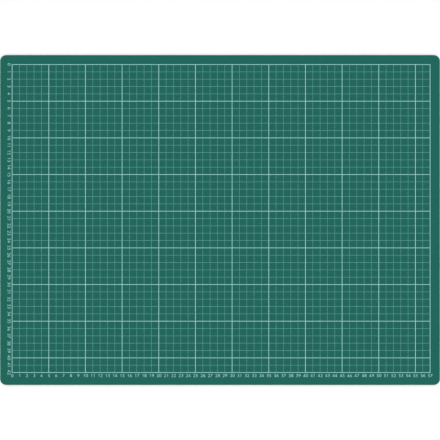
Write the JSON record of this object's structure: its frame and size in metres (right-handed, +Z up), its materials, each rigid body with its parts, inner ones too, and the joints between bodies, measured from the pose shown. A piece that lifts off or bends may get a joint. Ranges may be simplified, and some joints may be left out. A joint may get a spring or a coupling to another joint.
{
  "type": "cutting mat",
  "caption": "Thin rectangular self-healing cutting mat with rounded corners and a printed centimetre grid, laid flat on a table to protect it while cutting.",
  "frame": {"origin": "middle of the underside, on the surface that the mat lies on", "axes": "+X along the long edge, the way the lower scale counts; +Y away from the lower scale; +Z up out of the printed face"},
  "size_m": [0.6, 0.45, 0.0031],
  "materials": {
    "face_pvc": "fine matt grain",
    "core_pvc": "cut edge, matt",
    "bond_film": "cut edge, satin",
    "print_ink": "matt screen ink"
  },
  "bodies": {
    "root": {"top_cutting_sheet": "face_pvc", "upper_bond_film": "bond_film", "rigid_core_sheet": "core_pvc", "lower_bond_film": "bond_film", "bottom_cutting_sheet": "face_pvc", "grid_frame_print": "print_ink", "five_cm_rows_print": "print_ink", "five_cm_columns_print": "print_ink", "one_cm_rows_print": "print_ink", "one_cm_columns_print": "print_ink"}
  },
  "joints": []
}
